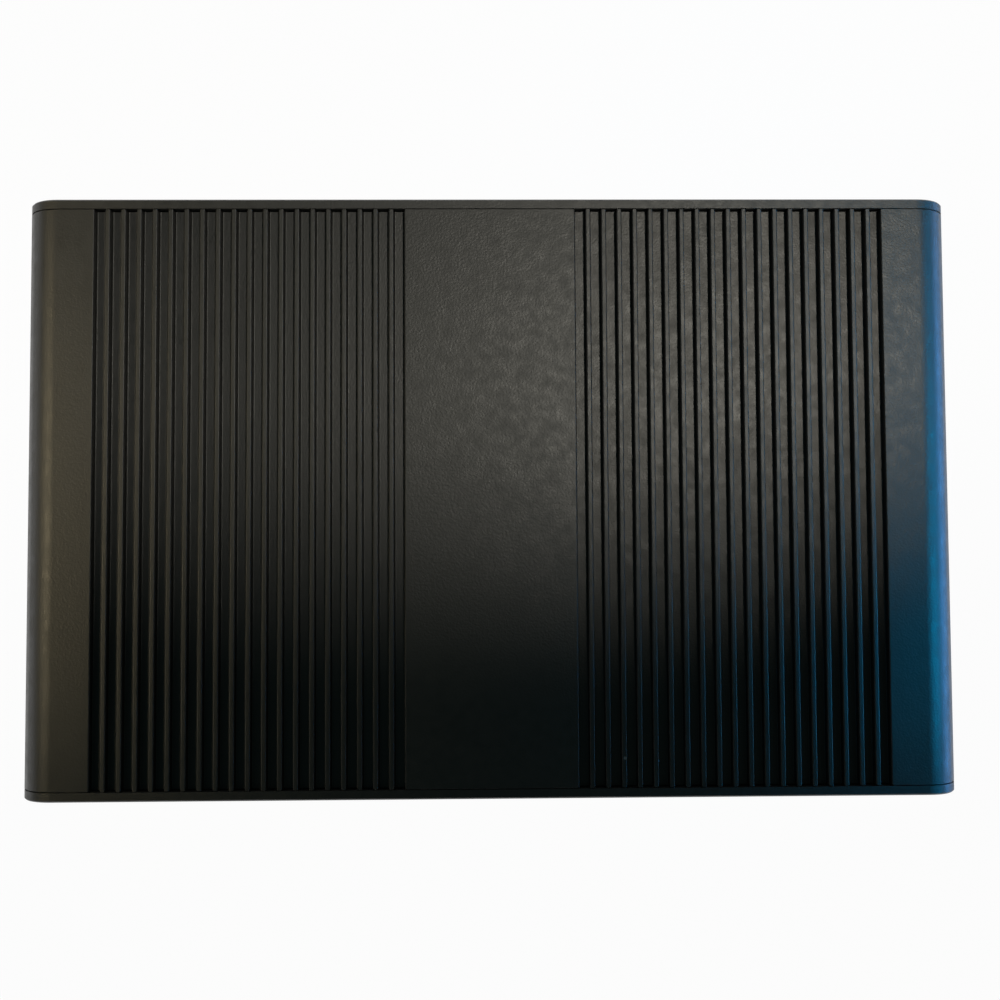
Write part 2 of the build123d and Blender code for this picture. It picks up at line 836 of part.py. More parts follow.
def make_serial():
    """A nine-pin serial plug: steel flange and D collar, insulator, pins and two hex posts."""
    collar_face = plate_thickness - serial_shell.depth
    flange_back = plate_thickness + serial_flange.depth
    at_pins = Pos(0, serial_rise)
    flange = along_case(at_pins * Rectangle(serial_flange.width, serial_flange.height),
                        plate_thickness, flange_back)
    shell = flange + along_case(at_pins * serial_section(), collar_face, plate_thickness)
    hollow = at_pins * serial_section(shell_wall)
    shell -= along_case(hollow, collar_face - over, flange_back + over)
    insert = along_case(hollow, plate_thickness - serial_floor, flange_back)
    insert += slab(-serial_shell.width / 2, serial_shell.width / 2, flange_back,
                   flange_back + serial_block_depth, 0, serial_rise + serial_shell.height / 2)
    pins = []
    floor = plate_thickness - serial_floor
    for level, count in ((pin_row_gap / 2, 5), (-pin_row_gap / 2, 4)):
        for x in row(count, pin_pitch):
            pins.append(rod(pin_radius, pin_length - serial_floor, (x, floor, serial_rise + level), TO_FRONT))
    posts = []
    for x in (-serial_post_spacing / 2, serial_post_spacing / 2):
        shell -= rod(post_shank + screw_play, 2 * over + serial_flange.depth,
                     (x, plate_thickness - over, serial_rise), TO_REAR)
        post = extrude(Plane(origin=(x, 0, serial_rise), z_dir=TO_FRONT)
                       * RegularPolygon(post_size, 6), post_length)
        post += rod(post_shank, flange_back, (x, 0, serial_rise), TO_REAR)
        posts.append(post - rod(post_bore, post_length, (x, -post_length, serial_rise), TO_REAR))
    return {"serial_shell": shell, "serial_insert": insert, "serial_pins": pins, "serial_posts": posts}


def make_power_jack():
    """The supply socket: a moulded body with a round collar, and the pin in its bore."""
    half = power_jack.width / 2
    body = slab(-half, half, plate_thickness, plate_thickness + power_jack.depth, 0, power_jack.height)
    body += rod(power_collar_radius, plate_thickness, (0, 0, power_jack_rise), TO_REAR)
    body -= rod(power_bore_radius, power_bore_depth, (0, 0, power_jack_rise), TO_REAR)
    pin = rod(power_pin_radius, power_pin_length, (0, power_bore_depth, power_jack_rise), TO_FRONT)
    return {"power_jack": body, "power_jack_pin": pin}


def make_sound_jack(number):
    """A headphone or microphone socket: a small moulded body with a round collar and a bore."""
    half = sound_jack.width / 2
    body = slab(-half, half, plate_thickness, sound_jack.depth, 0, sound_jack.height)
    body += rod(sound_collar_radius, plate_thickness, (0, 0, sound_rise), TO_REAR)
    body -= rod(sound_bore_radius, sound_bore_depth, (0, 0, sound_rise), TO_REAR)
    return {f"sound_jack_{number}": body}


# Where the sockets stand, and the plates' openings for them
def at_front(x, recess=port_recess):
    return Pos(x, -outer_end + recess, board_level)


def at_rear(x, recess=port_recess):
    return Pos(x, outer_end - recess, board_level) * Rot(0, 0, half_turn)


def placed(location, parts):
    """The same nodes, moved to their place."""
    moved = {}
    for name, part in parts.items():
        moved[name] = [location * one for one in part] if isinstance(part, list) else location * part
    return moved


def box_opening(x, port):
    opening = Rectangle(port.width + 2 * port_gap, port.height + 2 * port_gap)
    return Pos(x, board_level + port.height / 2) * opening


def keyed_opening(x, port, cut, corners):
    """The opening for a screen socket at the rear, where the socket is turned round."""
    section = mirror(keyed_section(port, cut, corners), Plane.YZ)
    return Pos(x, board_level) * offset(section, port_gap)


def round_opening(x, level, radius):
    return Pos(x, level) * Circle(radius)


def front_openings():
    openings = [box_opening(x, usb) for x in front_usb_places]
    openings += [round_opening(x, board_level + sound_rise, sound_collar_radius + port_gap)
                 for x in sound_places]
    openings.append(round_opening(button_x, button_level, button_radius + button_gap))
    openings.append(round_opening(light_x, light_level, light_radius + screw_play))
    return openings


def rear_openings():
    openings = [box_opening(x, usb) for x in rear_usb_places]
    openings += [box_opening(x, lan) for x in lan_places]
    openings.append(keyed_opening(hdmi_x, hdmi, hdmi_cut, 2))
    openings.append(keyed_opening(display_x, display, display_cut, 1))
    openings.append(round_opening(power_jack_x, board_level + power_jack_rise,
                                  power_collar_radius + port_gap))
    serial_level = board_level + serial_rise
    openings.append(Pos(serial_x, serial_level) * offset(serial_section(), port_gap))
    for side in (-1, 1):
        openings.append(round_opening(serial_x + side * serial_post_spacing / 2, serial_level,
                                      post_shank + screw_play))
    return openings


# The whole assembly, one entry for each node
nodes = {
    "top_housing": make_top_housing(),
    "base_cover": make_base_cover(),
    "cover_screws": make_cover_screws(),
    "front_plate": make_end_plate(TO_FRONT, front_openings()),
    "rear_plate": make_end_plate(TO_REAR, rear_openings()),
    "front_plate_screws": make_plate_screws(TO_FRONT),
    "rear_plate_screws": make_plate_screws(TO_REAR),
    "foot_front_left": make_foot(-foot_x, -foot_y),
    "foot_front_right": make_foot(foot_x, -foot_y),
    "foot_rear_left": make_foot(-foot_x, foot_y),
    "foot_rear_right": make_foot(foot_x, foot_y),
    "foot_screws": make_foot_screws(),
    "motherboard": make_motherboard(),
    "board_screws": make_board_screws(),
    "processor": make_processor(),
    "processor_pad": make_processor_pad(),
    "heat_block": make_heat_block(),
    "flange_pad": make_flange_pad(),
    "block_screws": make_block_screws(),
    "inductors": make_inductors(),
    "capacitors": make_capacitors(),
    "network_chips": make_controllers(),
    "cell_holder": make_cell_holder(),
    "coin_cell": make_cell(),
    "memory_socket": make_memory_socket(),
    "memory_module": make_memory_module(),
    "drive_socket": make_drive_socket(),
    "drive": make_drive(),
    "drive_post": make_drive_post(),
    "drive_screw": make_drive_screw(),
    "power_button": make_button(),
    "switch_plunger": make_plunger(),
    "power_switch": make_switch(),
    "light_pipe": make_light_pipe(),
    "power_lamp": make_lamp(),
}
for number, x in enumerate(front_usb_places, start=1):
    nodes.update(placed(at_front(x), make_usb(number)))
for number, x in enumerate(rear_usb_places, start=len(front_usb_places) + 1):
    nodes.update(placed(at_rear(x), make_usb(number)))
for number, x in enumerate(lan_places, start=1):
    nodes.update(placed(at_rear(x), make_lan(number)))
for number, x in enumerate(sound_places, start=1):
    nodes.update(placed(at_front(x, 0), make_sound_jack(number)))
nodes.update(placed(at_rear(hdmi_x), make_screen_socket("hdmi", hdmi, hdmi_tongue, hdmi_cut, 2)))
nodes.update(placed(at_rear(display_x),
                    make_screen_socket("display", display, display_tongue, display_cut, 1)))
nodes.update(placed(at_rear(serial_x, 0), make_serial()))
nodes.update(placed(at_rear(power_jack_x, 0), make_power_jack()))

os.makedirs("parts", exist_ok=True)
for name, part in nodes.items():
    solids = part if isinstance(part, list) else [part]
    whole = Compound(children=[solid for one in solids for solid in one.solids()])
    export_step(whole, f"parts/{name}.step")
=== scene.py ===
# %% [markdown]
# # A fanless industrial computer, finished in Blender
#
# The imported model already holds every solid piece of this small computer: a case drawn
# through a die with two fields of fins, flat plates on both ends with their sockets, a
# spring-loaded power button, rubber feet, and the boards inside. This lesson dresses that
# model. Nothing is moved. Each node gets a finish that is worked out from its coordinates,
# and pieces that need finer surfaces are made new, as grids of points from short formulas.

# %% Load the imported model
import json
import math

import bpy
import numpy as np
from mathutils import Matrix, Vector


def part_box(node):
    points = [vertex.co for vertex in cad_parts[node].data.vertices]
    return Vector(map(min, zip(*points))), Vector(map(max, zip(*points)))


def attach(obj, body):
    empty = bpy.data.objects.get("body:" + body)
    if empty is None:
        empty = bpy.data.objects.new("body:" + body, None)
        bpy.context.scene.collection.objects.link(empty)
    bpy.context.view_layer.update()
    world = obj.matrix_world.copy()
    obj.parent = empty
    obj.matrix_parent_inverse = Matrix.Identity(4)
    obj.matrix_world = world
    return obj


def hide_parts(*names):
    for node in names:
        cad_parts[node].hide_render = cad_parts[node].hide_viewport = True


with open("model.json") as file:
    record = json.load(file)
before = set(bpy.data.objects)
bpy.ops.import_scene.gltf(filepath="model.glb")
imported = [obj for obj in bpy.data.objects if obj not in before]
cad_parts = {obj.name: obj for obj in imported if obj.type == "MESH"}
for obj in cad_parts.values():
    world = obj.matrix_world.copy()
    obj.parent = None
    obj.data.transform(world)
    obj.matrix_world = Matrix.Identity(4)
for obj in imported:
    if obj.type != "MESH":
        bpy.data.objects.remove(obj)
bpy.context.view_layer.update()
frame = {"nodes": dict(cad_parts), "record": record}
mm = 0.001

# %% [markdown]
# ## Shader sums that read like sums
#
# A finish is a small calculation that runs at every point of a surface. Wiring it node by
# node hides the arithmetic, so one class wraps an output socket and takes over the signs
# + - * and **. Each sign adds a Math node. Any other node comes from one method, which
# sets the node up first and then fills its sockets.

# %% A socket that can be used in sums
class Wire:
    """One output of a shader node. Sums of wires and numbers add Math nodes to its material."""

    def __init__(self, tree, socket):
        self.tree = tree
        self.socket = socket

    def node(self, kind, settings, sockets, output=0):
        """Adds a node: its type, its settings, then its sockets' values or wires."""
        made = self.tree.nodes.new(kind)
        for name, value in settings.items():
            setattr(made, name, value)
        for name, value in sockets.items():
            if isinstance(value, Wire):
                self.tree.links.new(value.socket, made.inputs[name])
            else:
                made.inputs[name].default_value = value
        return Wire(self.tree, made.outputs[output])

    def math(self, operation, *values):
        """Adds a Math node with an operation and up to three values or wires."""
        return self.node("ShaderNodeMath", {"operation": operation}, dict(enumerate(values)))

    def __add__(self, other):
        return self.math("ADD", self, other)

    def __radd__(self, other):
        return self.math("ADD", other, self)

    def __sub__(self, other):
        return self.math("SUBTRACT", self, other)

    def __rsub__(self, other):
        return self.math("SUBTRACT", other, self)

    def __mul__(self, other):
        return self.math("MULTIPLY", self, other)

    def __rmul__(self, other):
        return self.math("MULTIPLY", other, self)

    def __pow__(self, other):
        return self.math("POWER", self, other)


print("made", Wire.__name__, "whose signs + - * and ** add Math nodes")

# %% [markdown]
# ## A few words for surfaces
#
# Most real finishes are a base with something fine on top: blast grain, brush lines, moulded
# stipple, turning rings. A few small helpers say all of them. Sizes are given in millimetres,
# because that is how grain is measured, and the pattern follows the object's own
# coordinates, so it stays put in every view.

# %% Helpers for patterns, colours and relief
def grain(place, size, detail=2.0, stretch=(1.0, 1.0, 1.0)):
    """Noise from 0 to 1 in blotches of about size millimetres, drawn out along an axis by stretch."""
    scaled = place.node("ShaderNodeMapping", {}, {"Vector": place, "Scale": [1 / s for s in stretch]})
    return place.node("ShaderNodeTexNoise", {}, {
        "Vector": scaled, "Scale": 1 / (size * mm), "Detail": detail})


def between(wire, low, high):
    """A smooth step: 0 below low, 1 above high."""
    return wire.node("ShaderNodeMapRange", {"interpolation_type": "SMOOTHSTEP"},
                     {"Value": wire, "From Min": low, "From Max": high})


def blend(mask, first, second):
    """A colour that goes from the first to the second as the mask goes from 0 to 1."""
    first, second = [(*c, 1.0) if isinstance(c, tuple) else c for c in (first, second)]
    return mask.node("ShaderNodeMix", {"data_type": "RGBA"}, {0: mask, 6: first, 7: second}, 2)


def relief(height, depth):
    """A normal that makes the height, from 0 to 1, look depth millimetres deep."""
    return height.node("ShaderNodeBump", {}, {
        "Height": height, "Distance": depth * mm, "Strength": 1.0})


def axis_of(place, axis):
    """One of the three coordinates, in metres."""
    return place.node("ShaderNodeSeparateXYZ", {}, {"Vector": place}, "XYZ".index(axis))


def speck(place, x, y, z, radius):
    """1 inside a small ball round a point given in millimetres, and 0 outside."""
    away = place.node("ShaderNodeVectorMath", {"operation": "DISTANCE"},
                      {0: place, 1: (x * mm, y * mm, z * mm)}, 1)
    return 1 - between(away, 0.6 * radius * mm, radius * mm)


def rings(place, x, z, pitch):
    """Waves from 0 to 1 round an axis along Y through x and z. Their pitch is in millimetres.

    The distance from the axis is the root of the two squared offsets. The wave is its sine.
    """
    across = axis_of(place, "X") - x * mm
    up = axis_of(place, "Z") - z * mm
    away = (across * across + up * up) ** 0.5
    return 0.5 + 0.5 * away.math("SINE", away * (2 * math.pi / (pitch * mm)))


finishes = {}


def finish(name, recipe, **uniform):
    """A material with one shader. The recipe makes wires from coordinates, the rest is uniform."""
    material = bpy.data.materials.new(name)
    material.use_nodes = True
    tree = material.node_tree
    shader = tree.nodes["Principled BSDF"]
    for socket, value in uniform.items():
        shader.inputs[socket.replace("_", " ")].default_value = value
    place = Wire(tree, tree.nodes.new("ShaderNodeTexCoord").outputs["Object"])
    for socket, wire in recipe(place).items():
        tree.links.new(wire.socket, shader.inputs[socket])
    finishes[name] = material
    print(f"{name}: {len(tree.nodes)} nodes")


# %% [markdown]
# ## Black anodised aluminium
#
# The case is blasted with fine beads and then dyed in the anodising bath. The beads leave
# shallow dents about half a millimetre across, and the blast is never quite even, so clouds
# of about two millimetres are glossier or duller. The oxide is glassy, so the black itself is
# very dark and nearly all that is seen is reflected light. A dark colour, a middling roughness
# that follows the clouds, and a shallow relief give that. The die also leaves faint lines
# along the fins, and two specks of dust lie on the top.

# %% The case's finish
def blasted_black(place, size, lines, dust=()):
    """Dents of a size in millimetres, die lines of a strength, and specks given as x, y, z, radius."""
    dents = grain(place, size, 3.0)
    clouds = grain(place, 5.0 * size, 3.0)
    drawn = grain(place, 0.5, 1.0, (1.0, 60.0, 1.0))
    colour = blend(clouds, (0.0120, 0.0117, 0.0110), (0.0270, 0.0263, 0.0248))
    roughness = 0.30 + 0.06 * dents + 0.28 * clouds
    for x, y, z, radius in dust:
        mask = speck(place, x, y, z, radius)
        colour = blend(mask, colour, (0.20, 0.20, 0.19))
        roughness = roughness + 0.3 * mask
    return {
        "Base Color": colour,
        "Roughness": roughness,
        "Normal": relief(dents + lines * drawn, 0.055),
    }


specks_of_dust = ((-84.2, 31.3, 48.0, 0.35), (28.0, -55.5, 48.0, 0.4))
finish("anodised_black", lambda place: blasted_black(place, 0.45, 0.06, specks_of_dust), IOR=1.6)
finish("plate_black", lambda place: blasted_black(place, 0.4, 0.0), IOR=1.6)

# %% [markdown]
# ## Screws, posts and shells: metals with a grain
#
# Every bare metal here got its surface from a tool. Sheet for the socket shells was rolled, so
# its scratches run one way. Screw heads were turned and then plated or blackened. All of them
# share one recipe: fine noise that is drawn out along the tool's path, and a slow cloudiness
# from handling. Only the colour, the size of the grain and its direction differ. The screws'
# heat-blackened steel keeps a thin film of oil, which is the coat.

# %% Metals
def drawn_metal(place, dark, light, low, high, stretch, depth=0.004):
    """Scratches drawn out by stretch. Colour goes from dark to light, roughness from low to high."""
    scratches = grain(place, 0.12, 3.0, stretch)
    clouds = grain(place, 2.5, 2.0)
    worn = between(scratches, 0.35, 0.7)
    return {
        "Base Color": blend(0.6 * worn + 0.4 * clouds, dark, light),
        "Roughness": low + (high - low) * (0.6 * scratches + 0.4 * clouds),
        "Normal": relief(scratches, depth),
    }


finish("black_screw", lambda place: drawn_metal(
    place, (0.010, 0.010, 0.012), (0.030, 0.030, 0.033), 0.30, 0.50, (1, 1, 1), 0.01),
    Metallic=0.55, Coat_Weight=0.25, Coat_Roughness=0.3)
finish("shell_steel", lambda place: drawn_metal(
    place, (0.42, 0.42, 0.41), (0.62, 0.61, 0.59), 0.22, 0.42, (1, 12, 1)), Metallic=1.0)
finish("cell_steel", lambda place: drawn_metal(
    place, (0.48, 0.47, 0.45), (0.66, 0.65, 0.62), 0.18, 0.36, (1, 1, 8)), Metallic=1.0)
finish("contact_gold", lambda place: drawn_metal(
    place, (0.78, 0.50, 0.16), (0.94, 0.66, 0.26), 0.16, 0.34, (1, 6, 1)), Metallic=1.0)
finish("can_aluminium", lambda place: drawn_metal(
    place, (0.58, 0.59, 0.60), (0.78, 0.79, 0.80), 0.15, 0.32, (1, 1, 10)), Metallic=1.0)
finish("bare_aluminium", lambda place: drawn_metal(
    place, (0.50, 0.51, 0.52), (0.70, 0.71, 0.72), 0.30, 0.50, (14, 1, 1), 0.012), Metallic=1.0)

# %% [markdown]
# The power button's cap is turned on a lathe and then anodised black like the case. The tool's
# spiral stays on the face as rings about a fifth of a millimetre apart, and they make the
# highlight swing round as the view moves. The rings need the button's own axis, which comes
# from the node's box.

# %% The turned button
button_low, button_high = np.array(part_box("power_button")) / mm
button_x, button_z = ((button_low + button_high) / 2)[[0, 2]]


def turned_black(place):
    """Rings round the button's axis over a fine grain."""
    marks = rings(place, button_x, button_z, 0.22)
    dents = grain(place, 0.3)
    return {
        "Base Color": blend(dents, (0.016, 0.016, 0.018), (0.034, 0.034, 0.036)),
        "Roughness": 0.26 + 0.12 * dents + 0.05 * marks,
        "Normal": relief(marks + 0.3 * dents, 0.006),
    }


finish("button_metal", turned_black, Metallic=0.6)
print("button axis in mm", round(button_x, 2), round(button_z, 2))

# %% [markdown]
# ## Mouldings: sockets, tongues, feet and the light pipe
#
# Plastic takes the skin of its mould. Socket bodies are spark-eroded, which leaves a fine even
# stipple. The tongues are glossier. The feet are a soft rubber that never shines, with a slight
# bloom where they rub. Each is noise at the size of that skin, deeper for rubber than for a
# tongue, and the roughness follows the same noise, because hollows in a skin stay duller.

# %% Plastics and rubber
def moulded(place, size, dark, light, low, high, depth):
    """The mould's skin at a size in millimetres, over slow flow marks thirty times as large."""
    skin = grain(place, size, 2.0)
    flow = grain(place, 30 * size, 2.0)
    return {
        "Base Color": blend(0.5 * skin + 0.5 * flow, dark, light),
        "Roughness": low + (high - low) * (0.7 * skin + 0.3 * flow),
        "Normal": relief(skin, depth),
    }


finish("socket_plastic", lambda place: moulded(
    place, 0.10, (0.006, 0.006, 0.007), (0.016, 0.016, 0.017), 0.38, 0.58, 0.008))
finish("tongue_plastic", lambda place: moulded(
    place, 0.12, (0.006, 0.060, 0.330), (0.012, 0.095, 0.450), 0.28, 0.42, 0.003), IOR=1.55)
finish("foot_rubber", lambda place: moulded(
    place, 0.22, (0.008, 0.008, 0.008), (0.024, 0.023, 0.022), 0.72, 0.95, 0.03), IOR=1.45)
finish("thermal_pad", lambda place: moulded(
    place, 0.18, (0.25, 0.27, 0.30), (0.36, 0.38, 0.41), 0.65, 0.85, 0.015), IOR=1.41)
finish("lamp_plastic", lambda place: moulded(
    place, 0.20, (0.55, 0.62, 0.55), (0.72, 0.78, 0.70), 0.22, 0.34, 0.002), IOR=1.52)
finish("clear_pipe", lambda place: moulded(
    place, 0.15, (0.80, 0.84, 0.84), (0.92, 0.94, 0.94), 0.12, 0.26, 0.003),
    IOR=1.58, Transmission_Weight=0.75)

# %% [markdown]
# ## Boards, chips and chokes
#
# These are inside, and show only where the case is taken apart. A circuit board is glass cloth
# under a green lacquer. The copper tracks below lift the lacquer a little and make it lighter,
# so a brick pattern whose joints are thin gives straight tracks, and tiny dots of a cell
# pattern give the holes between layers. Chip resin is a dull grey with mineral filler in it,
# and a choke is pressed from iron powder that sparkles.

# %% Boards and parts on them
def laminate(place):
    """Tracks from a brick pattern's joints, holes from a cell pattern's middles, and glass cloth."""
    tracks = place.node("ShaderNodeTexBrick", {"offset": 0.35}, {
        "Vector": place, "Scale": 1.0, "Brick Width": 7 * mm, "Row Height": 1.1 * mm,
        "Mortar Size": 0.14 * mm, "Mortar Smooth": 0.3}, 1)
    cells = place.node("ShaderNodeTexVoronoi", {}, {"Vector": place, "Scale": 1 / (2.6 * mm)})
    holes = 1 - between(cells, 0.06, 0.10)
    cloth = grain(place, 0.3, 2.0)
    lacquer = blend(tracks, (0.006, 0.050, 0.022), (0.014, 0.100, 0.045))
    return {
        "Base Color": blend(holes, lacquer, (0.45, 0.42, 0.34)),
        "Roughness": 0.26 + 0.16 * cloth + 0.1 * holes,
        "Normal": relief(tracks + 0.2 * cloth - holes, 0.03),
    }


def filled_resin(place, size, dark, light, share):
    """A dull skin in which a share of the grains sparkles."""
    sparkle = between(grain(place, size, 1.0), 1 - share, 1.02 - share)
    skin = grain(place, 3 * size)
    return {
        "Base Color": blend(0.3 * skin + 0.7 * sparkle, dark, light),
        "Roughness": 0.68 - 0.3 * sparkle + 0.1 * skin,
        "Normal": relief(skin, 0.01),
    }


finish("board_laminate", laminate, IOR=1.55)
finish("chip_resin", lambda place: filled_resin(
    place, 0.06, (0.014, 0.014, 0.015), (0.05, 0.05, 0.05), 0.30))
finish("choke_ferrite", lambda place: filled_resin(
    place, 0.09, (0.040, 0.038, 0.036), (0.20, 0.19, 0.18), 0.36), Metallic=0.25)
print("finishes made", len(finishes))

# %% [markdown]
# ## The finned housing
#
# On the real thing this is one aluminium extrusion: its section is the same from end to end.
# So the surface is a closed outline carried straight along Y. The outline is a list of
# corners with a radius each. Rounding by formula, and not by a modifier, keeps every fin tip
# exactly tangent to its flanks, and gives the exact surface direction for smooth shading.
# The small radii matter: each fin tip catches the light as a thin bright line.

# %% Round the corners of an outline
def rounded(corners, radii, steps):
    """Points and outward directions along a closed outline that runs anticlockwise.

    At each corner the outline turns by an angle from direction u to direction v. The arc's
    centre is one radius to the inner side of the point where the arc starts, which is the
    radius times the tangent of half that angle before the corner. A direction on the arc is
    u's outward side turned by a growing share of the angle.
    """
    corners = np.asarray(corners, float)
    radii = np.asarray(radii, float)[:, None]
    u = corners - np.roll(corners, 1, axis=0)
    u /= np.linalg.norm(u, axis=1, keepdims=True)
    v = np.roll(u, -1, axis=0)
    turn = np.arctan2(u[:, 0] * v[:, 1] - u[:, 1] * v[:, 0], (u * v).sum(1))[:, None]
    side = np.sign(turn)
    outward = np.stack([u[:, 1], -u[:, 0]], 1)
    centre = corners - u * radii * np.tan(np.abs(turn) / 2) - side * radii * outward
    angle = turn * np.linspace(0, 1, steps)
    cos, sin = np.cos(angle), np.sin(angle)
    normal = np.stack([cos * outward[:, :1] - sin * outward[:, 1:],
                       sin * outward[:, :1] + cos * outward[:, 1:]], 2)
    points = centre[:, None] + (side * radii)[:, None] * normal
    return points.reshape(-1, 2), normal.reshape(-1, 2)


# %% [markdown]
# The outline starts at the lower right corner and runs over the top, groove by groove, down
# the left side, and back through the inside. The inner rails are a table of x, z and radius
# for the right side: the ledge that the base is screwed to, the thick corners for the plates'
# screws, and the shelf that the board hangs from. The left side is its mirror image.

# %% The housing's outline
half_width, body_end = 100.0, 61.8
case_bottom, case_top = 4.0, 48.0
groove_count, groove_pitch, groove_width, groove_depth, middle_band = 20, 3.36, 2.3, 2.0, 36.6
foot_radius, shoulder_radius = 2.5, 7.5
tip_radius, root_radius = 0.26, 0.3

first = middle_band / 2 + groove_width / 2
right_grooves = first + groove_pitch * np.arange(groove_count)
grooves = np.concatenate([right_grooves[::-1], -right_grooves])
corner_x = grooves[:, None] + groove_width / 2 * np.array([1, 1, -1, -1])
corner_z = case_top - groove_depth * np.array([0, 1, 1, 0]) + 0 * corner_x
fins = np.stack([corner_x, corner_z], 2).reshape(-1, 2)
fin_radii = np.tile([tip_radius, root_radius, root_radius, tip_radius], len(grooves))
rails = np.array([
    (97.0, 4.0, 0.3), (97.0, 7.0, 0.3), (89.0, 7.0, 0.3), (89.0, 10.0, 0.3), (91.0, 10.0, 0.3),
    (91.0, 15.9, 3.0), (97.0, 15.9, 0.3), (97.0, 22.6, 0.3), (83.0, 22.6, 0.3), (83.0, 25.6, 0.3),
    (97.0, 25.6, 0.3), (97.0, 37.1, 0.3), (91.0, 37.1, 3.0), (91.0, 43.0, 0.3)])
left_side = rails * (-1, 1, 1)
right_side = rails[::-1]
outline = np.concatenate([
    [(half_width, case_bottom), (half_width, case_top)], fins,
    [(-half_width, case_top), (-half_width, case_bottom)], left_side[:, :2], right_side[:, :2]])
radii = np.concatenate([
    [foot_radius, shoulder_radius], fin_radii, [shoulder_radius, foot_radius],
    left_side[:, 2], right_side[:, 2]])
print("corners in the outline", len(outline), "grooves", len(grooves))

# %% [markdown]
# The outline becomes a band of long faces, closed by a flat face at each end. At the ends it
# is drawn in a little, which breaks the saw's sharp edge. Blender would average the directions
# of neighbouring faces and smear the thin fin tips, so the directions that the formula gave
# are stored with the mesh.

# %% Carry the outline along Y
def from_grid(name, points, faces, directions=None):
    """A mesh object from points in millimetres, lists of corners, and a direction per corner."""
    mesh = bpy.data.meshes.new(name)
    mesh.from_pydata((np.asarray(points) * mm).tolist(), [], faces)
    mesh.polygons.foreach_set("use_smooth", np.ones(len(mesh.polygons), bool))
    if directions is not None:
        mesh.normals_split_custom_set(np.asarray(directions).tolist())
    mesh.update()
    piece = bpy.data.objects.new(name, mesh)
    bpy.context.scene.collection.objects.link(piece)
    return piece


def wear(piece, finish_name, body="case"):
    """Gives a piece its finish and lets it ride on its body."""
    piece.data.materials.append(finishes[finish_name])
    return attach(piece, body)


arc_points, edge_break = 5, 0.22
section, section_normal = rounded(outline, radii, arc_points)
count = len(section)
stations = np.array([-body_end, edge_break - body_end, body_end - edge_break, body_end])
drawn_in = np.array([edge_break, 0.0, 0.0, edge_break])
rings_of_points = np.stack([
    np.insert(section - inset * section_normal, 1, y, axis=1) for y, inset in zip(stations, drawn_in)])
here = np.arange(count)
after = (here + 1) % count
band = np.arange(3)[:, None] * count
sides = np.stack([here + band, here + band + count, after + band + count, after + band], 2)
faces = sides.reshape(-1, 4).tolist() + [here.tolist(), (here + 3 * count)[::-1].tolist()]
lean = np.array([-1.0, 0.0, 1.0])[:, None, None, None]
upright = np.insert(section_normal, 1, 0, axis=1)[sides % count]
directions = upright + lean * [0.0, 1.0, 0.0]
directions /= np.linalg.norm(directions, axis=-1, keepdims=True)
directions = np.concatenate([
    directions.reshape(-1, 3),
    np.tile([0.0, -1.0, 0.0], (count, 1)), np.tile([0.0, 1.0, 0.0], (count, 1))])
housing = from_grid("finned_housing", rings_of_points.reshape(-1, 3), faces, directions)
wear(housing, "anodised_black")
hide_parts("top_housing")
print("housing faces", len(housing.data.polygons))

# %% [markdown]
# ## Steel round the rib of a double socket
#
# A double socket for data plugs has a plastic rib between its two bays. On the real socket a
# strip of the shell's own sheet is folded round that rib, so steel shows all round both
# mouths. The strip is a rounded outline as before, this time a narrow U carried along X.

# %% A folded strip
def folded_strip(name, low_x, high_x, mouth, inward, low_z, high_z):
    """A strip of sheet folded to a U whose open side faces away from the mouth.

    Its section has eight corners: the U's outer four and its inner four, one sheet thickness
    apart. The same section stands at both ends of the strip, and faces join the two. Inward is
    1 or -1, the way in along Y. With -1 the corners are taken in reverse, which keeps the
    outline anticlockwise.
    """
    sheet, lip = 0.2, 8.0
    depth = np.array([0, lip, lip, sheet, sheet, lip, lip, 0]) - sheet
    height = np.repeat([low_z - sheet, low_z, high_z, high_z + sheet], 2)
    bends = np.array([0.3, 0.05, 0.05, 0.1, 0.1, 0.05, 0.05, 0.3])
    corners = np.stack([mouth + inward * depth, height], 1)
    outline, outward = rounded(corners[::inward], bends[::inward], 4)
    count = len(outline)
    points = np.concatenate([np.insert(outline, 0, x, axis=1) for x in (low_x, high_x)])
    here = np.arange(count)
    after = (here + 1) % count
    quads = np.stack([here, after, after + count, here + count], 1)
    faces = quads.tolist() + [here[::-1].tolist(), (here + count).tolist()]
    directions = np.concatenate([
        np.insert(outward, 0, 0, axis=1)[quads % count].reshape(-1, 3),
        np.tile([-1.0, 0.0, 0.0], (count, 1)), np.tile([1.0, 0.0, 0.0], (count, 1))])
    return wear(from_grid(name, points, faces, directions), "shell_steel")


def mouth_of(low, high):
    """The Y of a socket's mouth, and the sign of the way in. A front socket opens at its lowest Y."""
    return (low[1], 1) if low[1] < 0 else (high[1], -1)


rib_height, play = 4.0, 0.02
for number in (1, 2, 3):
    low, high = np.array(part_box(f"usb_insert_{number}")) / mm
    mouth, inward = mouth_of(low, high)
    level = (low[2] + high[2]) / 2
    reach = rib_height / 2 + play
    folded_strip(f"usb_divider_{number}", low[0], high[0], mouth - inward * play, inward,
                 level - reach, level + reach)
print("folded strips", number, "round ribs", rib_height, "mm high")

# %% [markdown]
# ## Contact springs in the sockets
#
# A socket's tongue carries gold-plated springs. A blue tongue has four flat ones near the mouth
# and five bowed ones behind them, all on its lower face. The two screen sockets have a row on
# each face. One spring is a thin strip with round edges, and all the strips of a tongue are
# made in one go: numpy adds the table of places to the table of the strip's points.

